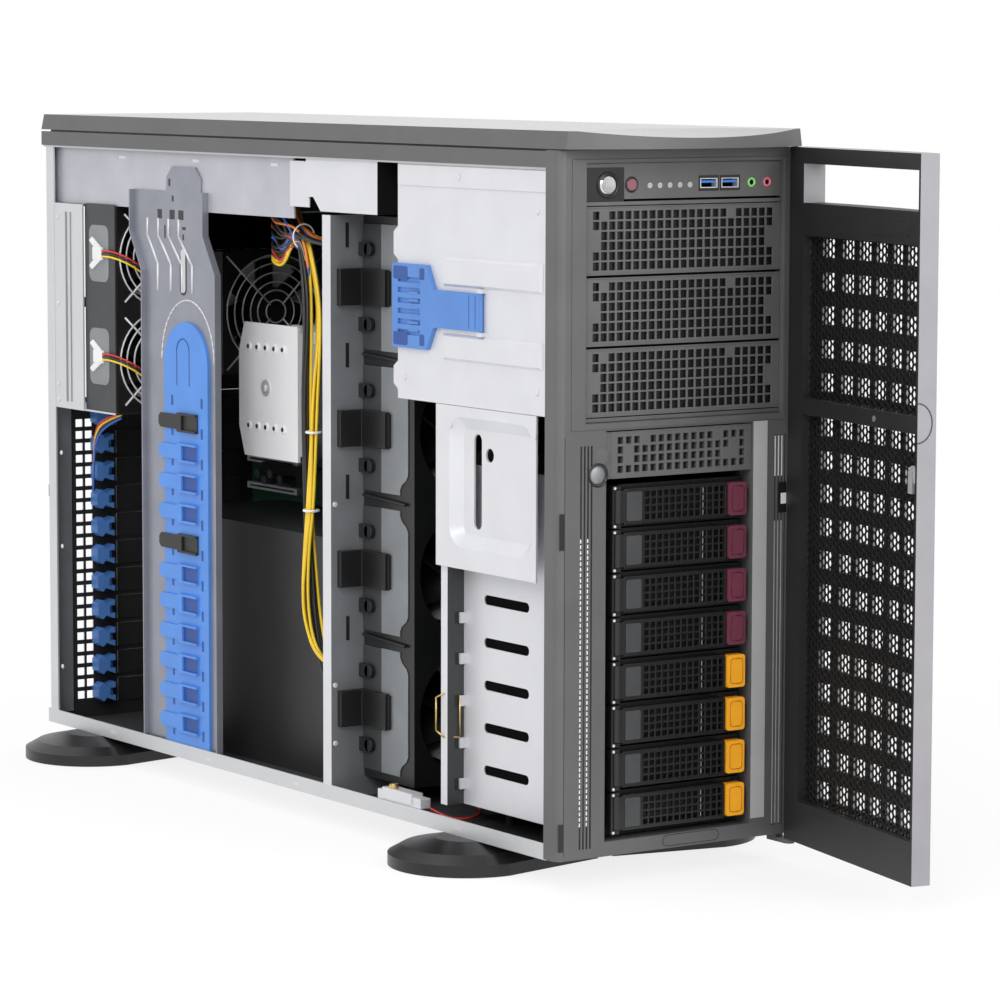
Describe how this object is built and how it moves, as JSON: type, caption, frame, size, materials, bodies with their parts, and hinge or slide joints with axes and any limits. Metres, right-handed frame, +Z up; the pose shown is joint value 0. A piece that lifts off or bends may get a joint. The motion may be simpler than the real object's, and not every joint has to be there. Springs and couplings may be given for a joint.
{
  "type": "tower gpu server",
  "caption": "Tower computer server with a hinged mesh front door, sliding drive trays, fans, coolers and card bay, its left side open.",
  "frame": {"origin": "on the floor under the middle of the machine's box with the door at its rest angle", "axes": "+Y from the front door to the rear, +X to the viewer's right facing the front, +Z up"},
  "size_m": [0.2658, 0.8336, 0.459],
  "materials": {
    "plated_steel": "satin zinc plate",
    "grey_plastic": "fine texture",
    "black_plastic": "fine texture",
    "mesh_steel": "satin black",
    "lock_metal": "nickel",
    "button_silver": "satin silver",
    "blue_plastic": "smooth",
    "fan_plastic": "smooth",
    "board_green": "solder mask",
    "cooler_metal": "satin",
    "wire_sleeve": "smooth",
    "supply_metal": "satin",
    "tray_metal": "satin dark",
    "burgundy_plastic": "smooth",
    "orange_plastic": "smooth"
  },
  "bodies": {
    "chassis": {"chassis_body": "plated_steel", "feet": "grey_plastic", "top_cover": "black_plastic", "front_bezel": "black_plastic", "control_panel": "black_plastic", "bay_covers": "black_plastic", "drive_cage": "plated_steel", "upper_cage": "plated_steel", "cage_side_plate": "plated_steel", "fan_wall": "plated_steel", "fan_housings": "fan_plastic", "psu_cage": "plated_steel", "rear_panel": "plated_steel", "slot_clips": "blue_plastic", "circuit_boards": "board_green", "cpu_coolers": "cooler_metal", "air_shroud": "black_plastic", "card_bracket": "plated_steel", "card_strip": "blue_plastic", "cable_loom": "wire_sleeve"},
    "door": {"door_frame": "grey_plastic", "door_mesh": "mesh_steel"},
    "door_lock": {"door_lock": "lock_metal"},
    "power_button": {"power_button": "button_silver"},
    "reset_button": {"reset_button": "button_silver"},
    "cage_latch": {"cage_latch": "blue_plastic"},
    "mid_fan_rotor_1": {"mid_fan_rotor_1": "fan_plastic"},
    "mid_fan_rotor_2": {"mid_fan_rotor_2": "fan_plastic"},
    "mid_fan_rotor_3": {"mid_fan_rotor_3": "fan_plastic"},
    "mid_fan_rotor_4": {"mid_fan_rotor_4": "fan_plastic"},
    "rear_fan_rotor_1": {"rear_fan_rotor_1": "fan_plastic"},
    "rear_fan_rotor_2": {"rear_fan_rotor_2": "fan_plastic"},
    "cooler_fan_rotor_1": {"cooler_fan_rotor_1": "fan_plastic"},
    "cooler_fan_rotor_2": {"cooler_fan_rotor_2": "fan_plastic"},
    "psu_module_1": {"psu_module_1": "supply_metal"},
    "psu_module_2": {"psu_module_2": "supply_metal"},
    "drive_tray_1": {"drive_tray_1": "tray_metal"},
    "tray_lever_1": {"tray_lever_1": "black_plastic"},
    "tray_release_1": {"tray_release_1": "burgundy_plastic"},
    "drive_tray_2": {"drive_tray_2": "tray_metal"},
    "tray_lever_2": {"tray_lever_2": "black_plastic"},
    "tray_release_2": {"tray_release_2": "burgundy_plastic"},
    "drive_tray_3": {"drive_tray_3": "tray_metal"},
    "tray_lever_3": {"tray_lever_3": "black_plastic"},
    "tray_release_3": {"tray_release_3": "burgundy_plastic"},
    "drive_tray_4": {"drive_tray_4": "tray_metal"},
    "tray_lever_4": {"tray_lever_4": "black_plastic"},
    "tray_release_4": {"tray_release_4": "burgundy_plastic"},
    "drive_tray_5": {"drive_tray_5": "tray_metal"},
    "tray_lever_5": {"tray_lever_5": "black_plastic"},
    "tray_release_5": {"tray_release_5": "orange_plastic"},
    "drive_tray_6": {"drive_tray_6": "tray_metal"},
    "tray_lever_6": {"tray_lever_6": "black_plastic"},
    "tray_release_6": {"tray_release_6": "orange_plastic"},
    "drive_tray_7": {"drive_tray_7": "tray_metal"},
    "tray_lever_7": {"tray_lever_7": "black_plastic"},
    "tray_release_7": {"tray_release_7": "orange_plastic"},
    "drive_tray_8": {"drive_tray_8": "tray_metal"},
    "tray_lever_8": {"tray_lever_8": "black_plastic"},
    "tray_release_8": {"tray_release_8": "orange_plastic"}
  },
  "joints": [
    {"name": "door_swing", "type": "hinge", "parent": "chassis", "child": "door", "pos_m": [0.0865, -0.2522, 0.218], "axis": [0, 0, 1], "range_deg": [-78.6, 31.4]},
    {"name": "door_lock_turn", "type": "hinge", "parent": "door", "child": "door_lock", "pos_m": [0.06116, -0.40317, 0.259], "axis": [0.9803, -0.1977, 0], "range_deg": [0, 90]},
    {"name": "power_press", "type": "slide", "parent": "chassis", "child": "power_button", "axis": [0, 1, 0], "range_m": [0, 0.0015], "stiffness_N_per_m": 300},
    {"name": "reset_press", "type": "slide", "parent": "chassis", "child": "reset_button", "axis": [0, 1, 0], "range_m": [0, 0.0015], "stiffness_N_per_m": 300},
    {"name": "cage_latch_swing", "type": "hinge", "parent": "chassis", "child": "cage_latch", "pos_m": [-0.0879, -0.1639, 0.346], "axis": [0, 0, 1], "range_deg": [0, 25]},
    {"name": "mid_fan_spin_1", "type": "hinge", "parent": "chassis", "child": "mid_fan_rotor_1", "pos_m": [-0.016, -0.0379, 0.0775], "axis": [0, 1, 0], "continuous": true},
    {"name": "mid_fan_spin_2", "type": "hinge", "parent": "chassis", "child": "mid_fan_rotor_2", "pos_m": [-0.016, -0.0379, 0.1695], "axis": [0, 1, 0], "continuous": true},
    {"name": "mid_fan_spin_3", "type": "hinge", "parent": "chassis", "child": "mid_fan_rotor_3", "pos_m": [-0.016, -0.0379, 0.2615], "axis": [0, 1, 0], "continuous": true},
    {"name": "mid_fan_spin_4", "type": "hinge", "parent": "chassis", "child": "mid_fan_rotor_4", "pos_m": [-0.016, -0.0379, 0.3535], "axis": [0, 1, 0], "continuous": true},
    {"name": "rear_fan_spin_1", "type": "hinge", "parent": "chassis", "child": "rear_fan_rotor_1", "pos_m": [-0.047, 0.3101, 0.3595], "axis": [0, 1, 0], "continuous": true},
    {"name": "rear_fan_spin_2", "type": "hinge", "parent": "chassis", "child": "rear_fan_rotor_2", "pos_m": [-0.047, 0.3101, 0.2865], "axis": [0, 1, 0], "continuous": true},
    {"name": "cooler_fan_spin_1", "type": "hinge", "parent": "chassis", "child": "cooler_fan_rotor_1", "pos_m": [0.012, 0.1051, 0.274], "axis": [0, 1, 0], "continuous": true},
    {"name": "cooler_fan_spin_2", "type": "hinge", "parent": "chassis", "child": "cooler_fan_rotor_2", "pos_m": [0.012, 0.2541, 0.322], "axis": [0, 1, 0], "continuous": true},
    {"name": "psu_slide_1", "type": "slide", "parent": "chassis", "child": "psu_module_1", "axis": [0, 1, 0], "range_m": [0, 0.25]},
    {"name": "psu_slide_2", "type": "slide", "parent": "chassis", "child": "psu_module_2", "axis": [0, 1, 0], "range_m": [0, 0.25]},
    {"name": "tray_slide_1", "type": "slide", "parent": "chassis", "child": "drive_tray_1", "axis": [0, -1, 0], "range_m": [0, 0.12]},
    {"name": "lever_swing_1", "type": "hinge", "parent": "drive_tray_1", "child": "tray_lever_1", "pos_m": [-0.042, -0.2429, 0.23145], "axis": [0, 0, -1], "range_deg": [0, 60]},
    {"name": "release_press_1", "type": "slide", "parent": "drive_tray_1", "child": "tray_release_1", "axis": [0, 1, 0], "range_m": [0, 0.0015], "stiffness_N_per_m": 300},
    {"name": "tray_slide_2", "type": "slide", "parent": "chassis", "child": "drive_tray_2", "axis": [0, -1, 0], "range_m": [0, 0.12]},
    {"name": "lever_swing_2", "type": "hinge", "parent": "drive_tray_2", "child": "tray_lever_2", "pos_m": [-0.042, -0.2429, 0.20455], "axis": [0, 0, -1], "range_deg": [0, 60]},
    {"name": "release_press_2", "type": "slide", "parent": "drive_tray_2", "child": "tray_release_2", "axis": [0, 1, 0], "range_m": [0, 0.0015], "stiffness_N_per_m": 300},
    {"name": "tray_slide_3", "type": "slide", "parent": "chassis", "child": "drive_tray_3", "axis": [0, -1, 0], "range_m": [0, 0.12]},
    {"name": "lever_swing_3", "type": "hinge", "parent": "drive_tray_3", "child": "tray_lever_3", "pos_m": [-0.042, -0.2429, 0.17765], "axis": [0, 0, -1], "range_deg": [0, 60]},
    {"name": "release_press_3", "type": "slide", "parent": "drive_tray_3", "child": "tray_release_3", "axis": [0, 1, 0], "range_m": [0, 0.0015], "stiffness_N_per_m": 300},
    {"name": "tray_slide_4", "type": "slide", "parent": "chassis", "child": "drive_tray_4", "axis": [0, -1, 0], "range_m": [0, 0.12]},
    {"name": "lever_swing_4", "type": "hinge", "parent": "drive_tray_4", "child": "tray_lever_4", "pos_m": [-0.042, -0.2429, 0.15075], "axis": [0, 0, -1], "range_deg": [0, 60]},
    {"name": "release_press_4", "type": "slide", "parent": "drive_tray_4", "child": "tray_release_4", "axis": [0, 1, 0], "range_m": [0, 0.0015], "stiffness_N_per_m": 300},
    {"name": "tray_slide_5", "type": "slide", "parent": "chassis", "child": "drive_tray_5", "axis": [0, -1, 0], "range_m": [0, 0.12]},
    {"name": "lever_swing_5", "type": "hinge", "parent": "drive_tray_5", "child": "tray_lever_5", "pos_m": [-0.042, -0.2429, 0.12385], "axis": [0, 0, -1], "range_deg": [0, 60]},
    {"name": "release_press_5", "type": "slide", "parent": "drive_tray_5", "child": "tray_release_5", "axis": [0, 1, 0], "range_m": [0, 0.0015], "stiffness_N_per_m": 300},
    {"name": "tray_slide_6", "type": "slide", "parent": "chassis", "child": "drive_tray_6", "axis": [0, -1, 0], "range_m": [0, 0.12]},
    {"name": "lever_swing_6", "type": "hinge", "parent": "drive_tray_6", "child": "tray_lever_6", "pos_m": [-0.042, -0.2429, 0.09695], "axis": [0, 0, -1], "range_deg": [0, 60]},
    {"name": "release_press_6", "type": "slide", "parent": "drive_tray_6", "child": "tray_release_6", "axis": [0, 1, 0], "range_m": [0, 0.0015], "stiffness_N_per_m": 300},
    {"name": "tray_slide_7", "type": "slide", "parent": "chassis", "child": "drive_tray_7", "axis": [0, -1, 0], "range_m": [0, 0.12]},
    {"name": "lever_swing_7", "type": "hinge", "parent": "drive_tray_7", "child": "tray_lever_7", "pos_m": [-0.042, -0.2429, 0.07005], "axis": [0, 0, -1], "range_deg": [0, 60]},
    {"name": "release_press_7", "type": "slide", "parent": "drive_tray_7", "child": "tray_release_7", "axis": [0, 1, 0], "range_m": [0, 0.0015], "stiffness_N_per_m": 300},
    {"name": "tray_slide_8", "type": "slide", "parent": "chassis", "child": "drive_tray_8", "axis": [0, -1, 0], "range_m": [0, 0.12]},
    {"name": "lever_swing_8", "type": "hinge", "parent": "drive_tray_8", "child": "tray_lever_8", "pos_m": [-0.042, -0.2429, 0.04315], "axis": [0, 0, -1], "range_deg": [0, 60]},
    {"name": "release_press_8", "type": "slide", "parent": "drive_tray_8", "child": "tray_release_8", "axis": [0, 1, 0], "range_m": [0, 0.0015], "stiffness_N_per_m": 300}
  ]
}
